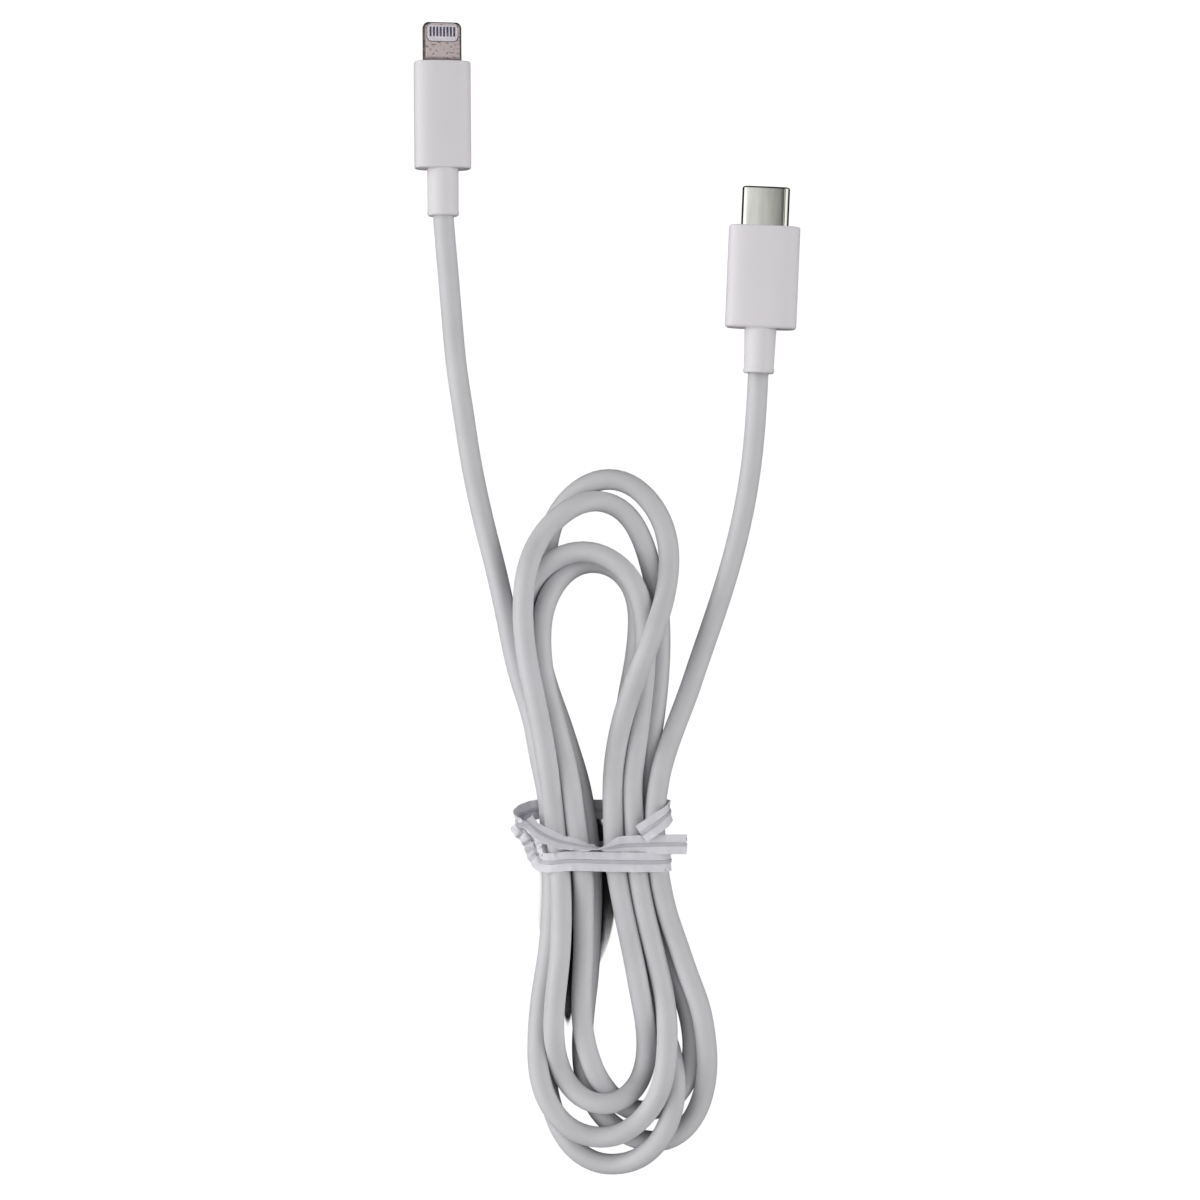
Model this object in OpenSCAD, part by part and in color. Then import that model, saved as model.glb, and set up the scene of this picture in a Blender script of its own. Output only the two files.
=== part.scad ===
// Charging cable, USB-C at one end and a flat eight-contact phone plug at the other. It lies on a
// surface at z = 0, folded into a long loose hank that a flat twist tie holds. All sizes in millimetres.
// Each plug is drawn in its own frame: x across, +Y out of the plug's front, y = 0 at its cover's face.

/* [Cord] */
// Diameter of the cord's jacket
cord_d = 3.6; // [3.2:0.1:3.8]

/* [USB-C plug] */
// Width of the moulded cover
usb_w = 12.35; // [11.8:0.05:12.6]
// Thickness of the moulded cover
usb_t = 6.2; // [6.0:0.1:6.5]
// Length of the moulded cover
usb_l = 17.7; // [17.4:0.1:20]
// Length of the steel shell that stands out of the cover
usb_shell_out = 6.9; // [6.6:0.05:7.0]
// Length of the strain relief
usb_relief_l = 7.8; // [6:0.1:12]
// How far the plug is turned on the surface, its tip to the right, in degrees
usb_turn = 2.4; // [0:0.1:5]

/* [Phone plug] */
// Width of the moulded cover
phone_w = 9.8; // [9.4:0.1:10.4]
// Thickness of the moulded cover
phone_t = 5.8; // [5.7:0.1:6.2]
// Length of the moulded cover
phone_l = 18.5; // [18:0.1:21]
// Length of the metal blade that stands out of the cover
blade_out = 6.9; // [6.8:0.05:7.1]
// Length of the strain relief
phone_relief_l = 8.2; // [6:0.1:12]
// How far the plug is rolled about its own length, in degrees
phone_roll = 10; // [0:1:12]
// How far the plug is turned on the surface, its tip to the left, in degrees
phone_turn = 0.4; // [0:0.1:2]

/* [Hank] */
// Height of the folded runs of cord
hank_h = 7.6; // [7.4:0.1:10]
// Width of the bundle where the tie holds it
waist_w = 22.2; // [20:0.1:24]

/* [Twist tie] */
// Width of the tie's strip
tie_w = 3.4; // [3:0.1:3.6]
// Thickness of the tie's strip, wire and all
tie_t = 0.4; // [0.3:0.05:0.5]

/* [Hidden] */
$fn = 48;
eps = 0.05;
slack = 0.03;
cord_r = cord_d / 2;
bore_r = cord_r + 0.05;
wire_r = 0.35;
can_wall = 0.3;
barrel_l = 2.4;

// where the front face of each cover lies on the surface
usb_at = [27.4, 38.0];
phone_at = [-28.6, 66.5];

// USB-C plug: shell, cover and the parts inside
usb_corner = 2.7;
usb_wall = 0.8;
usb_axis_z = usb_t / 2;
shell_w = 8.25;
shell_t = 2.4;
shell_r = 1.15;
shell_wall = 0.25;
shell_back = -6;
usb_can = [9.3, 3.9, 1.0];
usb_can_back = -14;
usb_jacket_end = usb_can_back + can_wall;
insulator_y = [-2.2, 6.6];
tongue_w = 6.9;
tongue_t = 0.86;
tongue_back = 0.6;
contact_n = 12;
contact_pitch = 0.5;
contact_w = 0.24;
contact_t = 0.14;
usb_board = [7.0, 8.75, 0.8];
usb_board_front = -2.25;
slot_top = 0.78;
flex_y = 0.7;
latch_x = 3.4;
latch_t = 0.2;

// phone plug: blade, cover and the parts inside
phone_corner = 2.7;
phone_wall = 0.7;
phone_axis_z = (phone_w / 2 - phone_corner) * sin(phone_roll)
  + (phone_t / 2 - phone_corner) * cos(phone_roll) + phone_corner;
blade_w = 6.7;
blade_t = 1.5;
blade_edge = 0.6;
blade_tip_r = 1.0;
blade_back = -5;
hollow = [5.4, 0.9, 0.1];
phone_can = [7.6, 3.6, 0.8];
phone_can_back = -13.5;
phone_jacket_end = phone_can_back + can_wall;
window = [5.5, 3.1, 0.9];
window_y = blade_out - 0.3 - window[1] / 2;
pad_n = 8;
pad_pitch = 0.59;
pad_size = [0.34, 1.65, 0.35];
phone_board = [5.0, 10.7, 0.6];
phone_board_front = 0.5;

// bundle and tie
waist_x = -0.7;
waist_y = [-74.2, -65.8];
waist_z = [0.45, 7.15];
waist_r = 3.2;
wrap_y = [-73.9, -73.9 + tie_w];
band_y = [wrap_y[1] + 0.1, wrap_y[1] + 0.1 + tie_w];
band_end_x = 13.7;
loop_r = 3.0;
loop_out = 1.9;
loop_z = 2.2;
wire_w = 0.5;
wire_t = 0.2;

// Cord's route, point by point along its middle. The phone plug's arm runs into the bundle on the left.
phone_route = concat(
  [phone_point(phone_jacket_end), phone_point(-phone_l - phone_relief_l)],
  [
    [-28.1, 36, 3.0], [-27.5, 29, 2.4], [-26.9, 21.5, 1.9], [-26.2, 14, 1.8], [-25, 6, 1.8], [-23.6, -3, 1.8],
    [-21.6, -12.5, 1.8], [-19.2, -22, 1.8], [-17.3, -30.5, 1.8], [-15.8, -37.5, 1.8], [-14.2, -43, 1.8]
  ]
);
// The USB-C plug's arm climbs onto the bundle on the right.
usb_route = concat(
  [usb_point(usb_jacket_end), usb_point(-usb_l - usb_relief_l)],
  [
    [26, 6.5, 2.6], [25.5, 0, 2.0], [24.5, -7.5, 1.8], [23, -15, 1.8], [21, -22.5, 1.8], [18.6, -30, 1.8],
    [16, -37.5, 2.0], [13.8, -44, 2.6], [11.4, -50, 3.6], [9.6, -55, 4.6]
  ]
);

// ---- places ----

// A point on the USB-C plug's axis, y along the plug
function usb_point(y) = [usb_at[0] + y * sin(usb_turn), usb_at[1] + y * cos(usb_turn), usb_axis_z];

// A point on the phone plug's axis, y along the plug
function phone_point(y) = [phone_at[0] - y * sin(phone_turn), phone_at[1] + y * cos(phone_turn), phone_axis_z];

module at_usb() {
  translate([usb_at[0], usb_at[1], usb_axis_z]) rotate([0, 0, -usb_turn]) children();
}

module at_phone() {
  translate([phone_at[0], phone_at[1], phone_axis_z])
    rotate([0, 0, phone_turn]) rotate([0, phone_roll, 0]) children();
}

// ---- shared shapes ----

// Rectangle with round corners, centred
module rounded(w, h, r) {
  square([w - 2 * r, h], center = true);
  square([w, h - 2 * r], center = true);
  for (x = [-1, 1], y = [-1, 1]) translate([x * (w / 2 - r), y * (h / 2 - r)]) circle(r);
}

// The same section carried along Y from y0 to y1
module prism(w, h, r, y0, y1) {
  translate([0, y1, 0]) rotate([90, 0, 0]) linear_extrude(y1 - y0) rounded(w, h, r);
}

module rod(r, y0, y1) {
  translate([0, y1, 0]) rotate([90, 0, 0]) cylinder(r = r, h = y1 - y0);
}

// Box given by its lowest and highest corners
module box(low, high) {
  translate(low) cube(high - low);
}

// Closed round tube of eight sides along a list of points
function unit(v) = v / norm(v);
function heading(p, i) = unit(p[min(i + 1, len(p) - 1)] - p[max(i - 1, 0)]);
function across(p, i) = unit(cross([0, 0, 1], heading(p, i)));
function ring_point(p, i, a, r) = p[i] + r * (cos(a) * across(p, i) + sin(a) * cross(heading(p, i), across(p, i)));

module tube(p, r, sides = 8) {
  last = (len(p) - 1) * sides;
  points = [for (i = [0 : len(p) - 1], k = [0 : sides - 1]) ring_point(p, i, (k + 0.5) * 360 / sides, r)];
  walls = [
    for (i = [0 : len(p) - 2], k = [0 : sides - 1])
      [i * sides + k, (i + 1) * sides + k, (i + 1) * sides + (k + 1) % sides, i * sides + (k + 1) % sides]
  ];
  caps = [[for (k = [0 : sides - 1]) k], [for (k = [0 : sides - 1]) last + sides - 1 - k]];
  polyhedron(points, concat(walls, caps));
}

// ---- pieces that both plugs have ----

// Moulded cover: solid outside, room for the inner mould, an opening in front and a cord hole behind
module cover(w, t, l, corner, wall) {
  difference() {
    prism(w, t, corner, -l, 0);
    prism(w - 2 * wall, t - 2 * wall, corner - wall, -l + wall, -wall);
    children();
    rod(bore_r, -l - 1, -l + wall + eps);
  }
}

// Inner mould: fills the cover round the can, the crimp barrel and the metal in front
module inner_mould(w, t, l, corner, wall, can, can_back, can_front) {
  difference() {
    prism(w - 2 * wall, t - 2 * wall, corner - wall, -l + wall, -wall);
    prism(can[0] + 2 * slack, can[1] + 2 * slack, can[2] + slack, can_back - slack, can_front);
    rod(bore_r + 0.35 + slack, can_back - barrel_l - slack, can_back + can_wall + slack);
    rod(bore_r, -l, can_back - barrel_l + eps);
    children();
  }
}

// Rear can: a steel box round the board with a crimp barrel for the cord
module rear_can(can, back, front) {
  difference() {
    union() {
      prism(can[0], can[1], can[2], back, front);
      rod(bore_r + 0.35, back - barrel_l, back + can_wall);
    }
    prism(
      can[0] - 2 * can_wall, can[1] - 2 * can_wall, can[2] - can_wall, back + can_wall, front - can_wall
    );
    rod(bore_r, back - barrel_l - 1, back + can_wall + eps);
    children();
  }
}

// Strain relief: a tapered sleeve from the cover's back face, its far edge chamfered
module strain_relief(l, r_near, r_far, back) {
  edge = 0.4;
  translate([0, back, 0]) rotate([90, 0, 0]) rotate_extrude()
    polygon([[bore_r, 0], [r_near, 0], [r_far, l - edge], [r_far - edge, l], [bore_r, l]]);
}

// Conductors from the jacket's end to the board: three above it and two below
module wires(jacket_end, board_t, board_back) {
  for (x = [-1, 0, 1]) translate([x, 0, board_t / 2 + wire_r]) rod(wire_r, jacket_end, board_back + 1.6);
  for (x = [-0.6, 0.6]) translate([x, 0, -board_t / 2 - wire_r]) rod(wire_r, jacket_end, board_back + 1.6);
}

// Chips and small components on both faces of a board
module chips(board_t, y, chip) {
  translate([-chip[0] / 2, y, board_t / 2]) cube(chip);
  translate([-chip[0] / 3, y + 0.3, -board_t / 2 - chip[2]]) cube([chip[0] / 1.5, chip[1] * 0.7, chip[2]]);
  for (x = [-2.1, 1.5], k = [0, 1]) translate([x, y + 0.1 + k * 0.9, board_t / 2]) cube([0.6, 0.3, 0.3]);
}

// ---- USB-C plug ----

module shell_section(y0, y1) {
  prism(shell_w, shell_t, shell_r, y0, y1);
}

module shell_inside(y0, y1) {
  prism(shell_w - 2 * shell_wall, shell_t - 2 * shell_wall, shell_r - shell_wall, y0, y1);
}

module usb_c_shell() {
  color("silver") at_usb() difference() {
    shell_section(shell_back, usb_shell_out);
    shell_inside(shell_back - 1, usb_shell_out + 1);
  }
}

// One row of twelve bars; side is 1 for the upper row and -1 for the lower
module contact_row(side, y0, y1, w = contact_w, z0 = usb_board[2] / 2, t = contact_t) {
  for (i = [0 : contact_n - 1]) {
    x = (i - (contact_n - 1) / 2) * contact_pitch;
    z = side > 0 ? z0 : -z0 - t;
    translate([x - w / 2, y0, z]) cube([w, y1 - y0, t]);
  }
}

// Spring beams of one row, each with a round nose that presses on the tongue
module contact_beams(side) {
  contact_row(side, flex_y, 5.6);
  for (i = [0 : contact_n - 1])
    translate([(i - (contact_n - 1) / 2) * contact_pitch - contact_w / 2, 5.1, side * usb_board[2] / 2])
      rotate([0, 90, 0]) cylinder(r = 0.13, h = contact_w);
}

module tails() {
  for (side = [-1, 1]) contact_row(side, insulator_y[0] - 2, flex_y - 0.04);
}

module mid_plate() {
  box([-3.15, insulator_y[0], -0.07], [3.15, 0.4, 0.07]);
}

module ground_plates() {
  for (side = [-1, 1]) translate([0, 3.9, side * 0.89]) cube([5.6, 3, 0.12], center = true);
}

module usb_c_contact_housing() {
  color("dimgray") at_usb() difference() {
    shell_inside(insulator_y[0], insulator_y[1]);
    prism(tongue_w, tongue_t, 0.1, tongue_back, insulator_y[1] + 1);
    for (side = [-1, 1]) {
      contact_row(side, tongue_back, 5.9, contact_w + 0.06, 0, slot_top);
      box([side * 3.55 - 0.4, insulator_y[0] - 1, -0.3], [side * 3.55 + 0.4, 5.6, 0.3]);
    }
    tails();
    mid_plate();
    ground_plates();
  }
}

module usb_c_upper_contacts() {
  color("gold") at_usb() contact_beams(1);
}

module usb_c_lower_contacts() {
  color("gold") at_usb() contact_beams(-1);
}

module usb_c_contact_tails() {
  color("gold") at_usb() tails();
}

module usb_c_mid_plate() {
  color("lightgray") at_usb() mid_plate();
}

// Side latch: a spring arm along the housing's side with a hook near its tip
module latch(side) {
  box(
    [side * latch_x - latch_t / 2, insulator_y[0] + 0.3, -0.25],
    [side * latch_x + latch_t / 2, 5.2, 0.25]
  );
  translate([side * (latch_x - 0.2) - 0.12, 4.4, -0.25]) cube([0.24, 0.5, 0.5]);
}

module usb_c_left_latch() {
  color("lightgray") at_usb() latch(-1);
}

module usb_c_right_latch() {
  color("lightgray") at_usb() latch(1);
}

module usb_c_ground_springs() {
  color("lightgray") at_usb() ground_plates();
}

module usb_c_circuit_board() {
  color("green") at_usb()
    translate([-usb_board[0] / 2, usb_board_front - usb_board[1], -usb_board[2] / 2]) cube(usb_board);
}

module usb_c_board_chips() {
  color("darkslategray") at_usb() chips(usb_board[2], -7.2, [2.6, 2.0, 0.5]);
}

module usb_c_wires() {
  color("firebrick") at_usb() wires(usb_jacket_end, usb_board[2], usb_board_front - usb_board[1]);
}

module usb_c_rear_can() {
  color("silver") at_usb() rear_can(usb_can, usb_can_back, shell_back)
    shell_inside(shell_back - can_wall - eps, shell_back + 1);
}

module usb_c_inner_mould() {
  color("gainsboro") at_usb()
    inner_mould(usb_w, usb_t, usb_l, usb_corner, usb_wall, usb_can, usb_can_back, shell_back)
      shell_section(shell_back - eps, 0);
}

module usb_c_cover() {
  color("white") at_usb() cover(usb_w, usb_t, usb_l, usb_corner, usb_wall)
    shell_section(-usb_wall - eps, 1);
}

module usb_c_strain_relief() {
  color("white") at_usb() strain_relief(usb_relief_l, 2.78, 2.65, -usb_l);
}

// ---- phone plug ----

// Flat outline with round corners, upright through the blade
module window_block(t) {
  translate([0, window_y, -t / 2]) linear_extrude(t) rounded(window[0], window[1], window[2]);
}

// Blade seen from above: a bar whose two front corners are round
module blade_outline() {
  translate([-blade_w / 2, blade_back]) square([blade_w, blade_out - blade_back - blade_tip_r]);
  translate([-blade_w / 2 + blade_tip_r, blade_back])
    square([blade_w - 2 * blade_tip_r, blade_out - blade_back]);
  for (x = [-1, 1])
    translate([x * (blade_w / 2 - blade_tip_r), blade_out - blade_tip_r]) circle(blade_tip_r);
}

module phone_plug_frame() {
  color("rosybrown") at_phone() difference() {
    intersection() {
      prism(blade_w, blade_t, blade_edge, blade_back, blade_out);
      translate([0, 0, -blade_t]) linear_extrude(2 * blade_t) blade_outline();
    }
    window_block(2 * blade_t);
    prism(hollow[0], hollow[1], hollow[2], blade_back - 1, window_y);
    for (x = [-1, 1]) translate([x * (blade_w / 2 + 0.25), 3.9, -0.4]) cylinder(r = 0.6, h = 0.8);
  }
}

// Contacts of one face: a pad in the window and a thin leg back to the board
module phone_contacts(side) {
  leg_z = side > 0 ? phone_board[2] / 2 : -phone_board[2] / 2 - 0.1;
  pad_z = side > 0 ? blade_t / 2 - pad_size[2] : -blade_t / 2;
  for (i = [0 : pad_n - 1]) translate([(i - (pad_n - 1) / 2) * pad_pitch, 0, 0]) {
    translate([-pad_size[0] / 2, 4.4, pad_z]) cube(pad_size);
    translate([-0.12, -0.6, leg_z]) cube([0.24, 5.4, 0.1]);
  }
}

module phone_plug_contact_block() {
  color("lavender") at_phone() difference() {
    union() {
      window_block(blade_t);
      prism(hollow[0], hollow[1], hollow[2], phone_board_front, window_y);
    }
    phone_contacts(1);
    phone_contacts(-1);
  }
}

module phone_plug_top_contacts() {
  color("darkgoldenrod") at_phone() phone_contacts(1);
}

module phone_plug_bottom_contacts() {
  color("darkgoldenrod") at_phone() phone_contacts(-1);
}

module phone_plug_circuit_board() {
  color("green") at_phone()
    translate([-phone_board[0] / 2, phone_board_front - phone_board[1], -phone_board[2] / 2])
      cube(phone_board);
}

module phone_plug_board_chips() {
  color("darkslategray") at_phone() chips(phone_board[2], -8.2, [2.2, 1.9, 0.5]);
}

module phone_plug_wires() {
  color("firebrick") at_phone()
    wires(phone_jacket_end, phone_board[2], phone_board_front - phone_board[1]);
}

module phone_plug_rear_can() {
  color("silver") at_phone() rear_can(phone_can, phone_can_back, blade_back)
    prism(hollow[0], hollow[1], hollow[2], blade_back - can_wall - eps, blade_back + 1);
}

module phone_plug_inner_mould() {
  color("gainsboro") at_phone()
    inner_mould(phone_w, phone_t, phone_l, phone_corner, phone_wall, phone_can, phone_can_back, blade_back)
      prism(blade_w, blade_t, blade_edge, blade_back - eps, 0);
}

module phone_plug_cover() {
  color("white") at_phone() cover(phone_w, phone_t, phone_l, phone_corner, phone_wall)
    prism(blade_w, blade_t, blade_edge, -phone_wall - eps, 1);
}

module phone_plug_strain_relief() {
  color("white") at_phone() strain_relief(phone_relief_l, 2.74, 2.72, -phone_l);
}

// ---- cord ----

module cord_phone_arm() {
  color("whitesmoke") tube(phone_route, cord_r);
}

module cord_usb_arm() {
  color("whitesmoke") tube(usb_route, cord_r);
}

// A lobe of the hank, seen from above: two round ends and the waist
module lobe_outline(round_a, round_b, waist_edge) {
  hull() {
    translate([round_a[0], round_a[1]]) circle(round_a[2], $fn = 32);
    translate([round_b[0], round_b[1]]) circle(round_b[2], $fn = 32);
    translate([waist_x - waist_w / 2, waist_edge - 0.5]) square([waist_w, 1]);
  }
}

// The gap between a lobe's two sides
module lobe_gap(round_a, round_b) {
  hull() {
    translate([round_a[0], round_a[1]]) circle(round_a[2], $fn = 32);
    translate([round_b[0], round_b[1]]) circle(round_b[2], $fn = 32);
  }
}

module waist_prism(y0, y1, grow = 0) {
  translate([waist_x, 0, (waist_z[0] + waist_z[1]) / 2])
    prism(waist_w + 2 * grow, waist_z[1] - waist_z[0] + 2 * grow, waist_r + grow, y0, y1);
}

module cord_hank() {
  color("whitesmoke") {
    linear_extrude(hank_h) difference() {
      lobe_outline([0.9, -15.5, 11.7], [-3, -30.3, 13.4], waist_y[1] + 0.5);
      lobe_gap([-2.6, -29, 5.2], [-1.9, -59, 0.7]);
    }
    linear_extrude(hank_h) difference() {
      lobe_outline([0.9, -112.4, 14.5], [5.9, -108, 13.1], waist_y[0] - 0.5);
      lobe_gap([2.3, -106, 2.8], [-0.3, -80, 0.7]);
    }
    waist_prism(waist_y[0] - eps, waist_y[1] + eps);
  }
}

// ---- twist tie ----

// A closed band round the bundle
module band(y0, y1, inner, outer) {
  difference() {
    waist_prism(y0, y1, outer);
    waist_prism(y0 - 1, y1 + 1, inner);
  }
}

module upper_half() {
  intersection() {
    children();
    box([-30, -80, (waist_z[0] + waist_z[1]) / 2], [30, -60, 20]);
  }
}

// Middle of a strip that lies from y0 to y1, as wide as the wire
function wire_y(strip) = [(strip[0] + strip[1] - wire_w) / 2, (strip[0] + strip[1] + wire_w) / 2];

module tie_wire_rings() {
  band(wire_y(wrap_y)[0], wire_y(wrap_y)[1], 0, wire_t);
  upper_half() band(wire_y(band_y)[0], wire_y(band_y)[1], 0, wire_t);
}

// Loop of strip that stands on edge left of the bundle and joins the two bands
module tie_loop() {
  left = waist_x - waist_w / 2;
  middle = (wrap_y[0] + band_y[1]) / 2;
  translate([left - loop_out, middle, loop_z]) {
    difference() {
      cylinder(r = loop_r, h = tie_w);
      translate([0, 0, -1]) cylinder(r = loop_r - tie_t, h = tie_w + 2);
      translate([0, -2 * loop_r, -1]) cube([2 * loop_r, 4 * loop_r, tie_w + 2]);
    }
    for (y = [-loop_r, loop_r - tie_t]) translate([-eps, y, 0]) cube([loop_out - eps, tie_t, tie_w]);
  }
}

module tie_strip() {
  top = waist_z[1];
  color("aliceblue") difference() {
    union() {
      band(wrap_y[0], wrap_y[1], 0, tie_t);
      upper_half() band(band_y[0], band_y[1], 0, tie_t);
      tie_loop();
      // the band's cut end, past the bundle's right side
      box([waist_x + waist_w / 2 - waist_r, band_y[0], top], [band_end_x, band_y[1], top + tie_t]);
      // the two bands touch at the twist
      box([-4, wrap_y[1] - 0.5, top], [-1, band_y[0] + 0.5, top + tie_t]);
      // the other end, folded back over the bundle and onto the lobe behind it
      difference() {
        translate([0, 0, top + tie_t - 0.05]) linear_extrude(tie_t + 0.1)
          polygon([[4.9, -65.4], [7, -68.7], [11.3, -65.4], [10.1, -62.1]]);
        box([0, waist_y[1] - 0.1, 0], [20, -60, hank_h + slack]);
      }
    }
    tie_wire_rings();
  }
}

module tie_wire() {
  color("dimgray") tie_wire_rings();
}

usb_c_shell();
usb_c_contact_housing();
usb_c_upper_contacts();
usb_c_lower_contacts();
usb_c_contact_tails();
usb_c_mid_plate();
usb_c_left_latch();
usb_c_right_latch();
usb_c_ground_springs();
usb_c_circuit_board();
usb_c_board_chips();
usb_c_wires();
usb_c_rear_can();
usb_c_inner_mould();
usb_c_cover();
usb_c_strain_relief();
phone_plug_frame();
phone_plug_contact_block();
phone_plug_top_contacts();
phone_plug_bottom_contacts();
phone_plug_circuit_board();
phone_plug_board_chips();
phone_plug_wires();
phone_plug_rear_can();
phone_plug_inner_mould();
phone_plug_cover();
phone_plug_strain_relief();
cord_phone_arm();
cord_hank();
cord_usb_arm();
tie_strip();
tie_wire();
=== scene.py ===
"""Looks of the charging cable: the cord at full length, both plugs and the twist tie."""

import math

import bmesh
import bpy
import numpy as np
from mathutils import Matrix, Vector


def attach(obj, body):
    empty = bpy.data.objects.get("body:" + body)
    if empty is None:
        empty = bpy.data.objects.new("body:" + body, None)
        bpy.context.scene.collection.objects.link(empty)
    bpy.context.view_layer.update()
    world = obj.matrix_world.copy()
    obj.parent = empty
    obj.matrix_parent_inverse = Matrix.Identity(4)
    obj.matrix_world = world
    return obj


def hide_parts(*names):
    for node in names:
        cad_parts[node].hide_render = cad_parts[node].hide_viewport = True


MM = 0.001

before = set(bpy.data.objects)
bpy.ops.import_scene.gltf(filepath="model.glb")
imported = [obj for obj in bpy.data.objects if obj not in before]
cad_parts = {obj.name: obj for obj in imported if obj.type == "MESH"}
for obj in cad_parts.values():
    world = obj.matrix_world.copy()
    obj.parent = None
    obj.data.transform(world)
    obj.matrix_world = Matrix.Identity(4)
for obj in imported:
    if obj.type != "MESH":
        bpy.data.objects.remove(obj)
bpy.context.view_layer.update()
BODY = "cable"

# ---- sizes, in millimetres, as in the part's source ----

CORD_D = 3.6
CORD_R = CORD_D / 2
USB_AT = np.array([27.4, 38.0, 3.1])  # front face of the USB-C cover, on the plug's axis
USB_TURN = math.radians(-2.4)
USB_W, USB_T, USB_L, USB_CORNER = 12.35, 6.2, 17.7, 2.7
USB_RELIEF_L = 7.8
PHONE_W, PHONE_T, PHONE_L, PHONE_CORNER = 9.8, 5.8, 18.5, 2.7
PHONE_RELIEF_L = 8.2
PHONE_ROLL = math.radians(10)
PHONE_TURN = math.radians(0.4)
PHONE_AXIS_Z = (
    (PHONE_W / 2 - PHONE_CORNER) * math.sin(PHONE_ROLL)
    + (PHONE_T / 2 - PHONE_CORNER) * math.cos(PHONE_ROLL)
    + PHONE_CORNER
)
PHONE_AT = np.array([-28.6, 66.5, PHONE_AXIS_Z])
BORE_R = 1.85
USB_JACKET_END = -13.7
PHONE_JACKET_END = -13.2


def turned(points, roll, turn, at):
    """Points of a plug's own frame, rolled about Y, turned about Z and moved to its place."""
    p = np.asarray(points, float)
    x = p[..., 0] * math.cos(roll) + p[..., 2] * math.sin(roll)
    z = -p[..., 0] * math.sin(roll) + p[..., 2] * math.cos(roll)
    y = p[..., 1]
    c, s = math.cos(turn), math.sin(turn)
    return np.stack([x * c - y * s, x * s + y * c, z], axis=-1) + at


def usb_place(points):
    return turned(points, 0.0, USB_TURN, USB_AT)


def phone_place(points):
    return turned(points, PHONE_ROLL, PHONE_TURN, PHONE_AT)


# ---- shapes ----


def section(w, h, r, y, m=9):
    """Section of a plug at y: a rectangle with round corners, as 4 m points."""
    r = min(r, w / 2 - 0.01, h / 2 - 0.01)
    corners = ((1, 1), (-1, 1), (-1, -1), (1, -1))
    a = np.linspace(0, math.pi / 2, m)
    return np.array(
        [
            (sx * (w / 2 - r) + r * math.cos(b), y, sz * (h / 2 - r) + r * math.sin(b))
            for k, (sx, sz) in enumerate(corners)
            for b in a + k * math.pi / 2
        ]
    )


def soft_section(w, t, power, y, m=9):
    """Section of a cover at y: a rectangle softened all round, as 4 m points."""
    points = []
    for a in (np.arange(4 * m) + 0.5) * math.pi / (2 * m):
        c, s = math.cos(a), math.sin(a)
        k = (abs(c) ** power + abs(s) ** power) ** (-1 / power)
        points.append((w / 2 * k * c, y, t / 2 * k * s))
    return np.array(points)


def loft(rings, closed=False):
    """Corners and faces of a skin through rings of as many points each, its ends capped or joined."""
    n, rows = len(rings[0]), len(rings)
    faces = [
        (i * n + k, i * n + (k + 1) % n, (i + 1) % rows * n + (k + 1) % n, (i + 1) % rows * n + k)
        for i in range(rows if closed else rows - 1)
        for k in range(n)
    ]
    if not closed:
        faces += [tuple(reversed(range(n))), tuple(range((rows - 1) * n, rows * n))]
    return np.concatenate(rings), faces


def joined(parts):
    """Several sets of corners and faces as one."""
    corners, faces, start = [], [], 0
    for points, polygons in parts:
        corners.append(np.asarray(points, float))
        faces += [tuple(start + k for k in polygon) for polygon in polygons]
        start += len(points)
    return np.concatenate(corners), faces


def bar(low, high, edge=0.0):
    """A box, its edges cut at 45 degrees by edge."""
    (x0, y0, z0), (x1, y1, z1) = low, high
    w, d = x1 - x0, y1 - y0
    rings = []
    for z, inset in ((z0, edge), (z0 + edge, 0), (z1 - edge, 0), (z1, edge)):
        a, b = w / 2 - inset, d / 2 - inset
        ring = np.array([(a, b, 0), (-a, b, 0), (-a, -b, 0), (a, -b, 0)])
        rings.append(ring + ((x0 + x1) / 2, (y0 + y1) / 2, z))
    return loft(rings if edge else [rings[0], rings[3]])


def pipe(line, radius, sides=12):
    """A round bar along a line of points."""
    p = np.asarray(line, float)
    along = np.gradient(p, axis=0)
    along /= np.linalg.norm(along, axis=1)[:, None]
    side = np.cross(along, (0.13, 0.2, 0.97))
    side /= np.linalg.norm(side, axis=1)[:, None]
    up = np.cross(side, along)
    a = np.linspace(0, 2 * math.pi, sides, endpoint=False)
    return loft(
        [q + radius * (np.outer(np.cos(a), s) + np.outer(np.sin(a), u)) for q, s, u in zip(p, side, up)]
    )


def rounding(radius, n=5):
    """(depth, inset) pairs round a quarter circle, from the end face to the side."""
    return [
        (radius * (1 - math.cos(a)), radius * (1 - math.sin(a))) for a in np.linspace(0, math.pi / 2, n)
    ]


def mesh_object(name, shape, place=lambda points: points):
    """A piece from corners in its own frame, its faces and what puts it in its place."""
    corners, faces = shape
    data = bpy.data.meshes.new(name)
    data.from_pydata((place(corners) * MM).tolist(), [], faces)
    work = bmesh.new()
    work.from_mesh(data)
    bmesh.ops.recalc_face_normals(work, faces=work.faces)
    work.to_mesh(data)
    work.free()
    obj = bpy.data.objects.new(name, data)
    bpy.context.scene.collection.objects.link(obj)
    return obj


def cut_away(obj, cutter):
    """Takes the cutter's volume out of the piece."""
    change = obj.modifiers.new("cut", "BOOLEAN")
    change.object = cutter
    change.solver = "EXACT"
    bpy.context.view_layer.update()
    depsgraph = bpy.context.evaluated_depsgraph_get()
    result = bpy.data.meshes.new_from_object(obj.evaluated_get(depsgraph))
    obj.modifiers.clear()
    obj.data = result
    bpy.data.objects.remove(cutter)


FLAT = 0.975  # cosine of the angle up to which a face counts as flat


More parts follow.
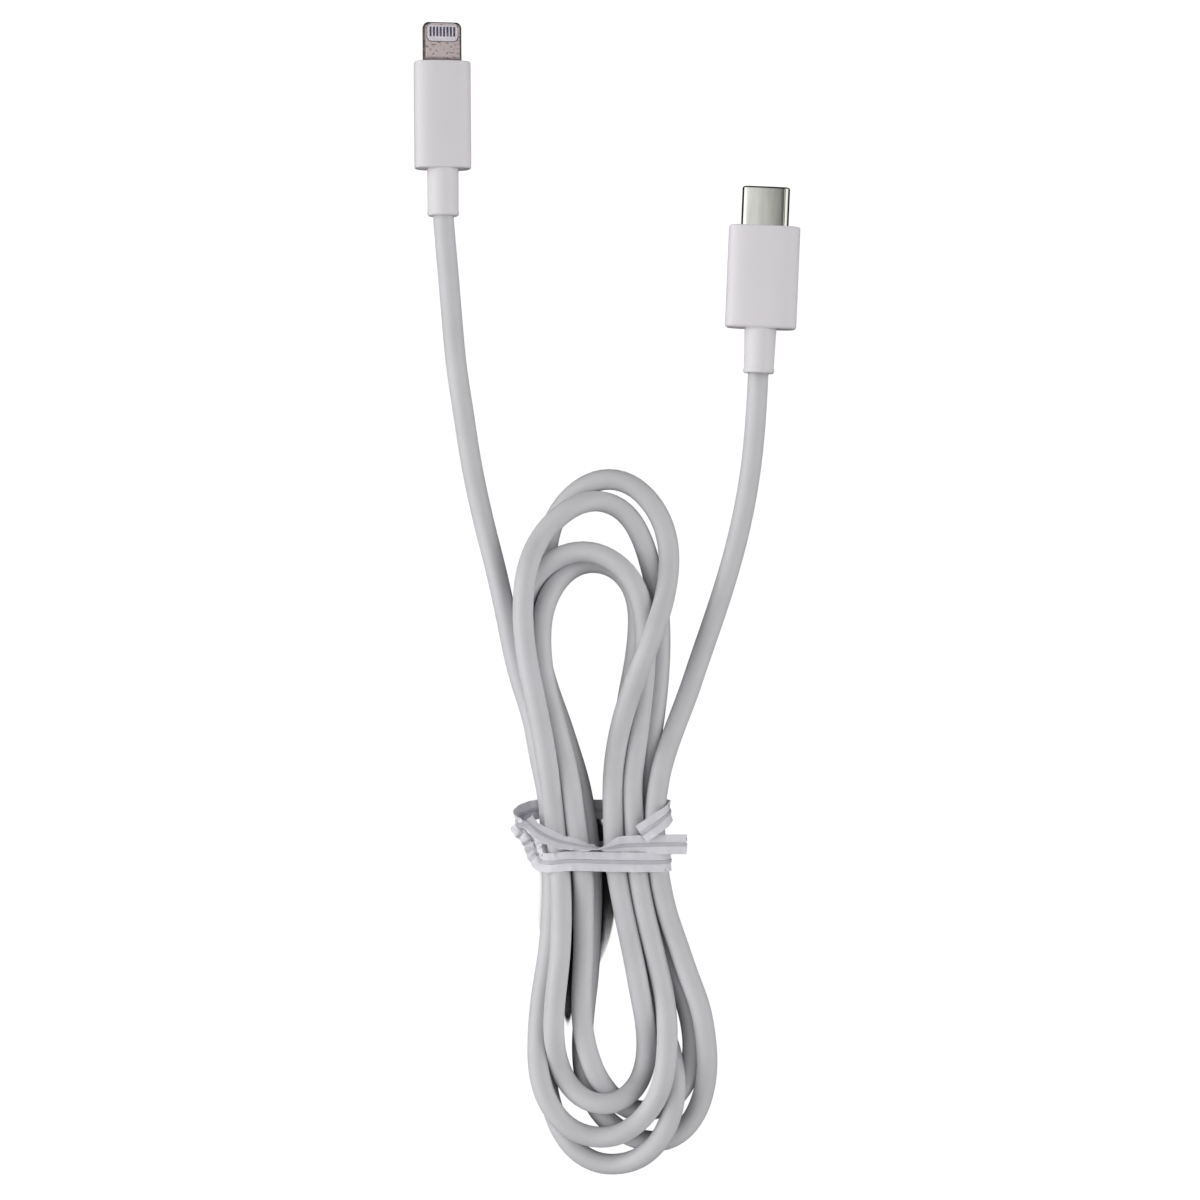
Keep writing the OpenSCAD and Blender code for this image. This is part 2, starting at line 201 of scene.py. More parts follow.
def finished(obj, slot, replaces=(), sharp=35, edge=None):
    """Gives the piece its finish, its body and the CAD nodes that it stands for.

    edge is a second finish, for the faces of the phone plug that don't lie along its flat sides; it paints
    them dark, standing for the dark reflections on its rounded edges.
    """
    obj.data.materials.clear()
    obj.data.materials.append(MATERIALS[slot])
    if edge:
        obj.data.materials.append(MATERIALS[edge])
        for face in obj.data.polygons:
            level = abs(face.normal.x * math.sin(PHONE_ROLL) + face.normal.z * math.cos(PHONE_ROLL))
            face.material_index = int(level < FLAT)
    obj.data.shade_smooth()
    obj.data.set_sharp_from_angle(angle=math.radians(sharp))
    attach(obj, BODY)
    if replaces:
        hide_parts(*replaces)
    return obj


# ---- camera, lights and floor ----

VIEW_CENTRE = (-1.2, -26.8, 2.0)
VIEW_SIDE = 208.7
LENS = 100.0
SENSOR = 36.0


def make_camera():
    data = bpy.data.cameras.new("camera")
    data.lens = LENS
    data.sensor_width = SENSOR
    camera = bpy.data.objects.new("camera", data)
    x, y, z = VIEW_CENTRE
    camera.location = (x * MM, y * MM, (z + VIEW_SIDE * LENS / SENSOR) * MM)
    data.clip_start, data.clip_end = 0.01, 10
    bpy.context.scene.collection.objects.link(camera)
    bpy.context.scene.camera = camera


def area_light(name, place, aim, size, power):
    data = bpy.data.lights.new(name, "AREA")
    data.shape = "RECTANGLE"
    data.size, data.size_y = size
    data.energy = power
    light = bpy.data.objects.new(name, data)
    light.location = place
    light.rotation_mode = "QUATERNION"
    light.rotation_quaternion = (Vector(aim) - Vector(place)).to_track_quat("-Z", "Y")
    bpy.context.scene.collection.objects.link(light)


# Narrow gaps beside the tie where the table is painted with shade: middle x and y, half width and half
# length
SHADED_GAPS = [(-5.5, -78, 7.5, 17), (-6.8, -83, 1.8, 18.5)]
GAP_EDGE = (0.9, 1.05)  # where a gap's shading fades out, in its half width and half length
# How open to the sky the table is where it turns from black to white, in a gap and elsewhere
OPEN_IN_GAP = (0.47, 0.57)
OPEN_ELSEWHERE = (-0.2, -0.1)
SHADE_REACH = 6  # how near a cord has to be to shade the table
FLOOR_SIZE = 8  # in metres
FLOOR_COLOUR = (0.06, 0.06, 0.06, 1)


def make_floor():
    """The table: white to the camera, like the photograph's cut-out background, but dark in those gaps.

    Its own colour is dark, so it throws little light on the cable.
    """
    bpy.ops.mesh.primitive_plane_add(size=FLOOR_SIZE)
    floor = bpy.context.object
    floor.name = "floor"
    material = bpy.data.materials.new("white_table")
    material.use_nodes = True
    nodes, links = material.node_tree.nodes, material.node_tree.links
    shader = nodes["Principled BSDF"]
    shader.inputs["Base Color"].default_value = FLOOR_COLOUR
    shader.inputs["Roughness"].default_value = 1.0
    shader.inputs["Specular IOR Level"].default_value = 0.0
    shader.inputs["Emission Color"].default_value = (1, 1, 1, 1)
    near = nodes.new("ShaderNodeAmbientOcclusion")
    near.samples = 24
    near.inputs["Distance"].default_value = SHADE_REACH * MM
    ramp = nodes.new("ShaderNodeMapRange")
    place = nodes.new("ShaderNodeNewGeometry")
    away = nodes.new("ShaderNodeMath")
    away.operation = "MINIMUM"
    for k, (x, y, half_x, half_y) in enumerate(SHADED_GAPS):
        middle = nodes.new("ShaderNodeVectorMath")
        middle.operation = "SUBTRACT"
        middle.inputs[1].default_value = (x * MM, y * MM, 0)
        links.new(place.outputs["Position"], middle.inputs[0])
        shape = nodes.new("ShaderNodeVectorMath")
        shape.operation = "MULTIPLY"
        shape.inputs[1].default_value = (1 / (half_x * MM), 1 / (half_y * MM), 0)
        links.new(middle.outputs["Vector"], shape.inputs[0])
        length = nodes.new("ShaderNodeVectorMath")
        length.operation = "LENGTH"
        links.new(shape.outputs["Vector"], length.inputs[0])
        links.new(length.outputs["Value"], away.inputs[k])
    for name, inside, outside in zip(("From Min", "From Max"), OPEN_IN_GAP, OPEN_ELSEWHERE):
        by_place = nodes.new("ShaderNodeMapRange")
        by_place.inputs["From Min"].default_value = GAP_EDGE[0]
        by_place.inputs["From Max"].default_value = GAP_EDGE[1]
        by_place.inputs["To Min"].default_value = inside
        by_place.inputs["To Max"].default_value = outside
        links.new(away.outputs["Value"], by_place.inputs["Value"])
        links.new(by_place.outputs["Result"], ramp.inputs[name])
    links.new(near.outputs["AO"], ramp.inputs["Value"])
    # Painted shade: inside the gaps, the glow that the camera sees drops to black where cords hide the
    # table from the sky
    ray = nodes.new("ShaderNodeLightPath")
    seen = nodes.new("ShaderNodeMath")
    seen.operation = "MULTIPLY"
    links.new(ray.outputs["Is Camera Ray"], seen.inputs[0])
    links.new(ramp.outputs["Result"], seen.inputs[1])
    links.new(seen.outputs["Value"], shader.inputs["Emission Strength"])
    floor.data.materials.append(material)


# (how far to the right a direction points, its brightness): what lights the cable, and what it mirrors.
# The two ends come first, because a new ramp already has those stops.
LIGHT = [
    (-1.0, 1.9), (1.0, 1.1), (-0.985, 3.2), (-0.8, 2.85), (-0.66, 1.2), (-0.4, 0.42), (-0.15, 0.2),
    (0.15, 0.18), (0.4, 0.34), (0.66, 0.9), (0.8, 2.2), (0.97, 2.2),
]
MIRRORED = [
    (-1.0, 1.2), (1.0, 0.5), (-0.97, 1.8), (-0.5, 1.3), (-0.3, 1.2), (-0.1, 1.15), (0.0, 0.94),
    (0.06, 0.72), (0.12, 0.5), (0.145, 0.3), (0.16, 0.06), (0.2, 0.06), (0.24, 0.82), (0.345, 0.82),
    (0.38, 0.03), (0.52, 0.02), (0.58, 1.5), (0.96, 1.5),
]


# How far to the front or back a direction points where the room's ends begin and where they are full
ENDS = (0.3, 0.8)
LIGHT_AT_ENDS, MIRRORED_AT_ENDS = 1.0, 0.05  # brightness of the ends beside that of the middle


def make_room():
    """Soft boxes low on both sides, a greyish ceiling between them and ends that mirror dark."""
    world = bpy.data.worlds.new("room")
    bpy.context.scene.world = world
    world.use_nodes = True
    nodes, links = world.node_tree.nodes, world.node_tree.links
    way = nodes.new("ShaderNodeTexCoord")
    split = nodes.new("ShaderNodeSeparateXYZ")
    links.new(way.outputs["Generated"], split.inputs["Vector"])
    across = nodes.new("ShaderNodeMapRange")
    across.inputs["From Min"].default_value = -1
    across.inputs["From Max"].default_value = 1
    links.new(split.outputs["X"], across.inputs["Value"])
    ends = nodes.new("ShaderNodeMath")
    ends.operation = "ABSOLUTE"
    links.new(split.outputs["Y"], ends.inputs[0])
    backgrounds = []
    for levels, at_ends in ((LIGHT, LIGHT_AT_ENDS), (MIRRORED, MIRRORED_AT_ENDS)):
        ramp = nodes.new("ShaderNodeValToRGB")
        links.new(across.outputs["Result"], ramp.inputs["Fac"])
        stops = ramp.color_ramp.elements
        for k, (x, level) in enumerate(levels):
            stop = stops[k] if k < 2 else stops.new((x + 1) / 2)
            stop.position = (x + 1) / 2
            stop.color = (level, level, level, 1)
        fall = nodes.new("ShaderNodeMapRange")
        fall.inputs["From Min"].default_value = ENDS[0]
        fall.inputs["From Max"].default_value = ENDS[1]
        fall.inputs["To Min"].default_value = 1.0
        fall.inputs["To Max"].default_value = at_ends
        links.new(ends.outputs["Value"], fall.inputs["Value"])
        background = nodes.new("ShaderNodeBackground")
        links.new(ramp.outputs["Color"], background.inputs["Color"])
        links.new(fall.outputs["Result"], background.inputs["Strength"])
        backgrounds.append(background)
    ray = nodes.new("ShaderNodeLightPath")
    mix = nodes.new("ShaderNodeMixShader")
    links.new(ray.outputs["Is Glossy Ray"], mix.inputs["Fac"])
    for k, background in enumerate(backgrounds):
        links.new(background.outputs["Background"], mix.inputs[k + 1])
    links.new(mix.outputs["Shader"], nodes["World Output"].inputs["Surface"])
    nodes.remove(nodes["Background"])


def make_stage():
    make_floor()
    make_room()
    area_light("key", place=(-0.5, 0.1, 0.35), aim=(0, 0, 0), size=(0.3, 0.5), power=0.15)
    bpy.context.scene.view_settings.view_transform = "Standard"


# ---- finishes ----

MATERIALS = {}
MOTTLE_DETAIL, BUMP_DETAIL = 5.0, 2.0


def finish(name, colour, roughness, metallic=0.0, mottle=None, bump=None, painted_shadow=None):
    """A finish, with these on top of its colour, their sizes in mm:

    mottle: second colour, size, noise from which it starts to appear and where it is full, and stretch
    bump: size, depth and stretch
    painted_shadow: colour of a painted shadow, y where it is full and y where it ends
    """
    material = bpy.data.materials.new(name)
    material.use_nodes = True
    nodes, links = material.node_tree.nodes, material.node_tree.links
    shader = nodes["Principled BSDF"]
    shader.inputs["Base Color"].default_value = (*colour, 1)
    shader.inputs["Roughness"].default_value = roughness
    shader.inputs["Metallic"].default_value = metallic
    place = nodes.new("ShaderNodeTexCoord")

    def noise(size, detail, stretch=(1, 1, 1)):
        scale = nodes.new("ShaderNodeMapping")
        scale.inputs["Scale"].default_value = [k / (size * MM) for k in stretch]
        links.new(place.outputs["Object"], scale.inputs["Vector"])
        texture = nodes.new("ShaderNodeTexNoise")
        texture.inputs["Scale"].default_value = 1.0
        texture.inputs["Detail"].default_value = detail
        links.new(scale.outputs["Vector"], texture.inputs["Vector"])
        return texture

    if mottle:
        second, size, low, high, *stretch = mottle
        texture = noise(size, MOTTLE_DETAIL, *stretch)
        ramp = nodes.new("ShaderNodeMapRange")
        ramp.inputs["From Min"].default_value = low
        ramp.inputs["From Max"].default_value = high
        mix = nodes.new("ShaderNodeMix")
        mix.data_type = "RGBA"
        mix.inputs["A"].default_value = (*colour, 1)
        mix.inputs["B"].default_value = (*second, 1)
        links.new(texture.outputs["Fac"], ramp.inputs["Value"])
        links.new(ramp.outputs["Result"], mix.inputs["Factor"])
        links.new(mix.outputs["Result"], shader.inputs["Base Color"])
    # Painted shadow: the colour turns dark below a given y in the piece's own frame, fading out up to a
    # second y
    if painted_shadow:
        dark, full, none = painted_shadow
        split = nodes.new("ShaderNodeSeparateXYZ")
        links.new(place.outputs["Object"], split.inputs["Vector"])
        fade = nodes.new("ShaderNodeMapRange")
        fade.inputs["From Min"].default_value = full * MM
        fade.inputs["From Max"].default_value = none * MM
        fade.inputs["To Min"].default_value = 1.0
        fade.inputs["To Max"].default_value = 0.0
        links.new(split.outputs["Y"], fade.inputs["Value"])
        over = nodes.new("ShaderNodeMix")
        over.data_type = "RGBA"
        over.inputs["B"].default_value = (*dark, 1)
        links.new(fade.outputs["Result"], over.inputs["Factor"])
        links.new(shader.inputs["Base Color"].links[0].from_socket, over.inputs["A"])
        links.new(over.outputs["Result"], shader.inputs["Base Color"])
    if bump:
        size, depth, *stretch = bump
        texture = noise(size, BUMP_DETAIL, *stretch)
        relief = nodes.new("ShaderNodeBump")
        relief.inputs["Distance"].default_value = depth * MM
        relief.inputs["Strength"].default_value = 1.0
        links.new(texture.outputs["Fac"], relief.inputs["Height"])
        links.new(relief.outputs["Normal"], shader.inputs["Normal"])
    MATERIALS[name] = material


def make_finishes():
    finish(
        "white_cover", (0.77, 0.74, 0.775), 0.38,
        mottle=((0.75, 0.725, 0.755), 9, 0.3, 0.7), bump=(0.5, 0.002),
    )
    finish(
        "white_relief", (0.77, 0.745, 0.775), 0.42,
        mottle=((0.75, 0.73, 0.755), 7, 0.3, 0.7), bump=(0.5, 0.002),
    )
    finish(
        "cord_jacket", (0.63, 0.625, 0.65), 0.4,
        mottle=((0.575, 0.575, 0.59), 11, 0.35, 0.75), bump=(0.9, 0.006),
    )
    finish(
        "tie_plastic", (0.78, 0.77, 0.81), 0.35,
        mottle=((0.71, 0.705, 0.75), 2.5, 0.3, 0.7), bump=(0.7, 0.03),
    )
    finish(
        "tie_ridge", (0.57, 0.56, 0.60), 0.3,
        mottle=((0.50, 0.50, 0.54), 2.0, 0.3, 0.7), bump=(0.6, 0.03),
    )
    finish(
        "shell_steel", (0.66, 0.655, 0.62), 0.1, 1.0,
        mottle=((0.56, 0.56, 0.52), 0.9, 0.3, 0.7, (1, 0.12, 1)), bump=(0.35, 0.0015, (1, 0.06, 1)),
    )
    finish(
        "blade_metal", (0.82, 0.7, 0.7), 0.3, 1.0,
        mottle=((0.24, 0.18, 0.17), 0.55, 0.55, 0.67, (1, 1.7, 1)), bump=(0.4, 0.004),
        # painted shadow at the blade's root: dark next to the cover, gone 1 mm out
        painted_shadow=((0.06, 0.05, 0.05), 66.7, 67.5),
    )
    # Painted reflection: the blade's rounded edges and notches are coloured near black for the dark that
    # they mirror
    finish("blade_edge", (0.10, 0.085, 0.08), 0.5, 1.0, mottle=((0.22, 0.19, 0.18), 0.7, 0.45, 0.75))
    finish("pale_insert", (0.78, 0.74, 0.80), 0.4, mottle=((0.62, 0.57, 0.63), 0.8, 0.35, 0.7))
    finish("dark_contacts", (0.09, 0.08, 0.13), 0.35, 0.6, mottle=((0.25, 0.24, 0.34), 0.5, 0.45, 0.75))
    finish("wire_steel", (0.2, 0.2, 0.21), 0.45, 1.0)
    finish("black_plastic", (0.018, 0.018, 0.02), 0.5)
    finish("gold_contacts", (0.83, 0.6, 0.25), 0.25, 1.0)
    finish("spring_steel", (0.62, 0.61, 0.6), 0.28, 1.0)
    finish("can_steel", (0.6, 0.6, 0.6), 0.35, 1.0)
    finish("board_green", (0.03, 0.16, 0.07), 0.45)
    finish("chip_black", (0.02, 0.02, 0.022), 0.55)
    finish("wire_insulation", (0.5, 0.08, 0.06), 0.45)
    finish("inner_plastic", (0.62, 0.62, 0.62), 0.5)


# The CAD nodes that stay as they are, by the slot whose finish they take
CARRIED = {
    "black_plastic": ["usb_c_contact_housing"],
    "gold_contacts": ["usb_c_upper_contacts", "usb_c_lower_contacts", "usb_c_contact_tails"],
    "spring_steel": ["usb_c_mid_plate", "usb_c_left_latch", "usb_c_right_latch", "usb_c_ground_springs"],
    "board_green": ["usb_c_circuit_board", "phone_plug_circuit_board"],
    "chip_black": ["usb_c_board_chips", "phone_plug_board_chips"],
    "wire_insulation": ["usb_c_wires", "phone_plug_wires"],
    "can_steel": ["usb_c_rear_can", "phone_plug_rear_can"],
    "inner_plastic": ["usb_c_inner_mould", "phone_plug_inner_mould"],
}


def repaint_frame():
    for slot, nodes in CARRIED.items():
        for node in nodes:
            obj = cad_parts[node]
            obj.data.materials.clear()
            obj.data.materials.append(MATERIALS[slot])


# ---- the cord's route ----

# The arms, as in the part's source: along the middle of the cord, x, y and height
PHONE_ARM = [
    (-28.1, 36, 3.0), (-27.5, 29, 2.4), (-26.9, 21.5, 1.9), (-26.2, 14, 1.8), (-25, 6, 1.8),
    (-23.6, -3, 1.8), (-21.6, -12.5, 1.8), (-19.2, -22, 1.8), (-17.3, -30.5, 1.8),
    (-15.8, -37.5, 1.8), (-14.2, -43, 1.8),
]
USB_ARM = [
    (26, 6.5, 2.6), (25.5, 0, 2.0), (24.5, -7.5, 1.8), (23, -15, 1.8), (21, -22.5, 1.8),
    (18.6, -30, 1.8), (16, -37.5, 2.0), (13.8, -44, 2.6), (11.4, -50, 3.6), (9.6, -55, 4.6),
]
# The folds between the arms: five bends below the tie and four above it
FOLDS = [
    # down through the tie, round the second lowest bend and back up
    (-13, -46.5, 1.8), (-11.5, -54.5, 2.0), (-10.2, -60.5, 2.3), (-9.8, -67, 2.4),
    (-9.3, -75.5, 2.6), (-10, -87.5, 5.0), (-11.4, -96.5, 5.2), (-11.8, -103.5, 5.2),
    (-11.5, -110, 5.2), (-9.5, -115, 5.2), (-7.1, -117.9, 4.6), (-4.4, -119.5, 4.2),
    (-1.2, -120, 4.6), (2, -119.5, 5.2), (4.7, -117.9, 5.4), (7.1, -115.5, 5.4), (8.9, -112.7, 5.4),
    (9.9, -109.3, 5.3), (10.4, -105, 5.3), (10.1, -96.5, 5.0), (8.2, -87.5, 5.0), (6.4, -80, 5.2),
    (5, -71, 5.5),
    # third bend above the tie
    (4.7, -65, 5.5), (4.2, -59, 5.2), (5, -52, 4.8), (6, -44, 4.6), (6.6, -37, 4.6),
    (6.5, -30.5, 4.6), (5.3, -25, 4.8), (3, -21.5, 5.0), (0, -19.3, 5.2), (-3, -18.3, 5.2),
    (-7.3, -18.8, 5.2), (-11.3, -21.2, 5.2), (-13.7, -25, 4.8), (-14.5, -30.5, 4.5),
    (-13.9, -35.5, 4.5), (-12.9, -41, 4.5), (-11.4, -47, 4.9), (-9.9, -53, 4.9), (-8.3, -59, 4.0),
    (-6.6, -67, 2.4), (-6, -75.5, 2.3),
    # lowest bend
    (-7, -80, 1.9), (-8.8, -87.5, 1.8), (-10.3, -96.5, 1.8), (-10.9, -105, 1.8), (-10.5, -111, 1.8),
    (-9.2, -116.2, 1.8), (-7.4, -120.2, 1.8), (-4.8, -123.2, 1.8), (-1, -125, 1.8),
    (3.4, -124.7, 2.8), (6.5, -123, 4.8), (9.4, -120, 5.3), (11.3, -115.5, 5.3), (11.9, -111, 5.2),
    (11.3, -105.5, 3.0), (9.3, -100.5, 1.8), (7.8, -96.5, 1.8), (5.8, -87.5, 1.8), (4.4, -80, 2.0),
    (3, -71, 2.4),
    # fourth bend above the tie
    (2.6, -65, 2.4), (2.6, -58, 2.0), (3, -51, 1.8), (3.7, -44, 1.8), (4.7, -39, 1.8),
    (5.4, -33.5, 1.8), (5.5, -28.5, 1.8), (4.4, -24.3, 1.8), (1.8, -21.3, 1.8), (-1.3, -20.1, 1.8),
    (-4.5, -20.3, 2.2), (-7.7, -22.3, 3.5), (-10, -25.7, 5.2), (-11.4, -30.3, 6.5),
    (-11.6, -34.5, 6.5), (-11, -40.5, 6.8), (-9.6, -46, 7.2), (-8.3, -51, 7.0), (-6.8, -57, 6.0),
    (-5.2, -67, 5.5), (-4, -75.5, 5.5),
    # inner bend below the tie, to the right
    (-4, -81, 5.5), (-4, -87.5, 5.2), (-4.4, -96.5, 5.2), (-4, -102.5, 5.2), (-3.1, -106, 4.5),
    (-1.9, -109.3, 3.0), (-0.3, -112, 1.8), (1.8, -114.3, 1.8), (4.3, -115.7, 1.8),
    (7, -115.9, 1.8), (9.6, -115.1, 1.8), (12, -113.2, 1.8), (13.8, -110.7, 1.8),
    (14.8, -107.5, 1.8), (15.1, -104, 1.8), (14.6, -100, 1.8), (13.7, -96.5, 1.8), (11.3, -91, 1.8),
    (9.6, -86, 1.8), (7.7, -79, 2.2), (6.7, -71, 2.4),
    # second bend above the tie
    (6.8, -63.5, 2.4), (7.1, -58, 1.9), (7.8, -50.5, 1.8), (8.5, -45, 1.8), (9.1, -39, 1.8),
    (9.3, -33.5, 1.8), (8.9, -27, 1.8), (7.7, -21, 1.8), (5.9, -15.6, 1.8), (3.7, -11.9, 1.8),
    (0.9, -9.9, 1.8), (-1.8, -9.4, 2.6), (-4.7, -9.9, 4.5), (-8, -12, 5.3), (-10.8, -14.9, 5.5),
    (-13, -19, 6.8), (-14.2, -24, 8.3), (-14.5, -28.5, 8.5), (-14.2, -33.5, 8.4), (-13.3, -39, 8.2),
    (-12.2, -44, 8.0), (-11.1, -49.5, 8.0), (-9.9, -56.5, 7.0), (-8.8, -67, 5.5), (-8, -75.5, 5.5),
    # innermost bend below the tie
    (-7.9, -81, 6.5), (-8.1, -87.5, 8.2), (-9.1, -96.5, 8.4), (-9.4, -101.5, 8.4),
    (-9, -105.5, 7.8), (-7.8, -109, 6.5), (-5.8, -111.9, 5.6), (-3.3, -113.6, 5.3),
    (-0.6, -114.2, 5.2), (2.1, -113.7, 4.8), (4.6, -112, 3.7), (6.2, -109.5, 2.4),
    (6.9, -106.4, 1.8), (7, -103.3, 1.8), (6.8, -100, 3.2), (6.1, -96.5, 5.0), (4.4, -87.5, 5.2),
    (2.6, -79, 5.4), (1.3, -71, 5.5),
    # top bend
    (1.1, -63.5, 5.5), (1.1, -59, 5.3), (1.8, -52, 5.6), (3.5, -44.7, 7.5), (5.9, -38, 8.2),
    (8.3, -31.7, 7.8), (10.1, -25.5, 5.8), (10.8, -20, 5.2), (10.4, -15.5, 4.0), (9, -11.8, 2.5),
    (6.6, -8.5, 1.8), (3.7, -6.3, 1.8), (0.9, -5.6, 1.8), (-2.1, -6, 1.8), (-5, -7.7, 1.8),
    (-7.6, -10.3, 1.8), (-9.6, -13.7, 1.8), (-10.6, -19.8, 1.8), (-11.6, -26.8, 1.8),
    (-12, -32, 1.8), (-11.5, -37.6, 1.8), (-10.1, -42.5, 1.8), (-8.4, -47, 1.8), (-6.6, -52.5, 1.8),
    (-4.9, -58, 2.0), (-3.3, -67, 2.4), (-2.6, -75.5, 2.4),
    # wide bend below the tie, to the right
    (-2.8, -84, 1.8), (-3.2, -92, 1.8), (-4.1, -100, 1.8), (-4.3, -104.2, 1.8), (-3.9, -109.4, 1.8),
    (-2.6, -113.4, 1.8), (-0.7, -116.7, 1.8), (2.2, -119.1, 1.8), (5.7, -120.8, 1.8),
    (9.2, -121.2, 1.8), (12.3, -120, 1.8), (14.6, -117.7, 1.8), (16.2, -114.6, 1.8),
    (17, -111.1, 1.8), (17.3, -106.9, 2.8), (16.9, -101.5, 4.4), (15.9, -96.5, 4.6),
    (14.5, -93, 4.4), (12.6, -87.5, 4.2), (10.1, -80, 4.8), (8.6, -71, 5.5), (8.2, -65, 5.5),
    (8.6, -60.5, 5.3),
]
STEP = 1.2  # distance between the cord's points
ROUTE_BLUR = 1.6  # how far the route is evened out, in points
TIE_Y = (-74.0, -62.0)  # where the tie holds the cord still
PLUGS_Y = 25  # above this the plugs hold it

# How the cord settles
ROUNDS = 420
LOOK_AGAIN = 12  # rounds between looking for pairs of points that may touch
MAY_TOUCH = CORD_D + 1.5
FALL = 0.03  # how far a free point drops in a round
EASE = 8  # distance from the tie's middle where the fall starts, and over which it grows to its full
SIDEWAYS = 0.2  # share of a push that goes sideways
EVEN_OUT = 0.3  # how far a point moves towards the middle of its neighbours in a round
HOMING = 0.08  # how far it moves back towards the route
DRIFT_BLUR, HEIGHT_BLUR = 2.5, 2.0  # how far the result is evened out, in points


def smooth_line(points, step):
    """Points at equal steps on a smooth curve through the given ones. Later columns go with them."""
    p = np.array(points, float)
    t = np.concatenate([[0], np.cumsum(np.linalg.norm(np.diff(p[:, :3], axis=0), axis=1))])
    slope = np.gradient(p, t, axis=0)
    fine = np.linspace(0, t[-1], int(t[-1] / step) * 8)
    k = np.clip(np.searchsorted(t, fine, side="right") - 1, 0, len(t) - 2)
    span = (t[k + 1] - t[k])[:, None]
    u = (fine - t[k])[:, None] / span
    curve = (
        (2 * u**3 - 3 * u**2 + 1) * p[k]
        + (u**3 - 2 * u**2 + u) * span * slope[k]
        + (3 * u**2 - 2 * u**3) * p[k + 1]
        + (u**3 - u**2) * span * slope[k + 1]
    )
    return even_steps(curve, step)


def even_steps(curve, step):
    """The same curve with its points at equal steps."""
    run = np.concatenate([[0], np.cumsum(np.linalg.norm(np.diff(curve[:, :3], axis=0), axis=1))])
    at = np.linspace(0, run[-1], int(round(run[-1] / step)) + 1)
    return np.stack([np.interp(at, run, column) for column in curve.T], axis=1)


def blurred(line, sigma):
    """The line averaged along its own length, its ends kept."""
    reach = int(3 * sigma) + 1
    weights = np.exp(-0.5 * (np.arange(-reach, reach + 1) / sigma) ** 2)
    weights /= weights.sum()
    before = 2 * line[:1] - line[reach:0:-1]
    after = 2 * line[-1:] - line[-2 : -reach - 2 : -1]
    padded = np.concatenate([before, line, after])
    return np.stack([np.convolve(padded[:, a], weights, mode="valid") for a in range(3)], axis=1)


def settle(line):
    """Lets the folds come to rest on the table and each other, held still by the tie and the plugs."""
    p = line.copy()
    home = line.copy()
    held = (line[:, 1] > PLUGS_Y) | ((line[:, 1] > TIE_Y[0]) & (line[:, 1] < TIE_Y[1]))
    weight = FALL * np.clip((np.abs(line[:, 1] - sum(TIE_Y) / 2) - EASE) / EASE, 0, 1)
    apart = int(2 * CORD_D / STEP) + 1
    first, second = np.triu_indices(len(p), k=apart)
    for turn in range(ROUNDS):
        if turn % LOOK_AGAIN == 0:
            gap = np.linalg.norm(p[first] - p[second], axis=1)
            near = gap < MAY_TOUCH
            i, j = first[near], second[near]
        p[:, 2] -= weight
        apart_by = p[i] - p[j]
        gap = np.linalg.norm(apart_by, axis=1)
        depth = np.clip(CORD_D - gap, 0, None) / np.maximum(gap, 1e-6)
        push = apart_by * (0.5 * depth)[:, None]
        push[:, :2] *= SIDEWAYS
        touching = np.maximum(np.bincount(i[depth > 0], minlength=len(p)), 1)
        touching = np.maximum(touching, np.bincount(j[depth > 0], minlength=len(p)))
        for a in range(3):
            total = np.bincount(i, push[:, a], len(p)) - np.bincount(j, push[:, a], len(p))
            p[:, a] += total / np.sqrt(touching)
        p[1:-1, 2] += EVEN_OUT * (0.5 * (p[:-2, 2] + p[2:, 2]) - p[1:-1, 2])
        drift = p - home
        p[1:-1, :2] += EVEN_OUT * (0.5 * (drift[:-2] + drift[2:]) - drift[1:-1])[:, :2]
        p[:, :2] += HOMING * (home - p)[:, :2]
        p[:, 2] = np.maximum(p[:, 2], CORD_R)
        p[held] = home[held]
    moved = blurred(p - home, DRIFT_BLUR)
    return np.column_stack([(home + moved)[:, :2], blurred(p, HEIGHT_BLUR)[:, 2]])


def cord_line():
    start = [phone_place([0, PHONE_JACKET_END, 0]), phone_place([0, -PHONE_L - PHONE_RELIEF_L, 0])]
    end = [usb_place([0, -USB_L - USB_RELIEF_L, 0]), usb_place([0, USB_JACKET_END, 0])]
    route = [*start, *PHONE_ARM, *FOLDS, *reversed(USB_ARM), *end]
    line = smooth_line([tuple(p) for p in route], STEP)
    return even_steps(settle(blurred(line, ROUTE_BLUR)), STEP)


def make_cord():
    """One round tube along the whole route, both ends inside the plugs."""
    line = cord_line()
    data = bpy.data.curves.new("cord", "CURVE")
    data.dimensions = "3D"
    data.bevel_depth = CORD_R * MM
    data.bevel_resolution = 8
    data.use_fill_caps = True
    data.materials.append(MATERIALS["cord_jacket"])
    spline = data.splines.new("POLY")
    spline.points.add(len(line) - 1)
    spline.points.foreach_set("co", np.column_stack([line * MM, np.ones(len(line))]).ravel())
    spline.use_smooth = True
    cord = bpy.data.objects.new("cord", data)
    bpy.context.scene.collection.objects.link(cord)
    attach(cord, BODY)
    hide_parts("cord_phone_arm", "cord_hank", "cord_usb_arm")
    return cord


# ---- plugs ----


def bore(y, m):
    """Section at y of the hole that the cord goes through."""
    return section(2 * BORE_R, 2 * BORE_R, BORE_R, y, m)


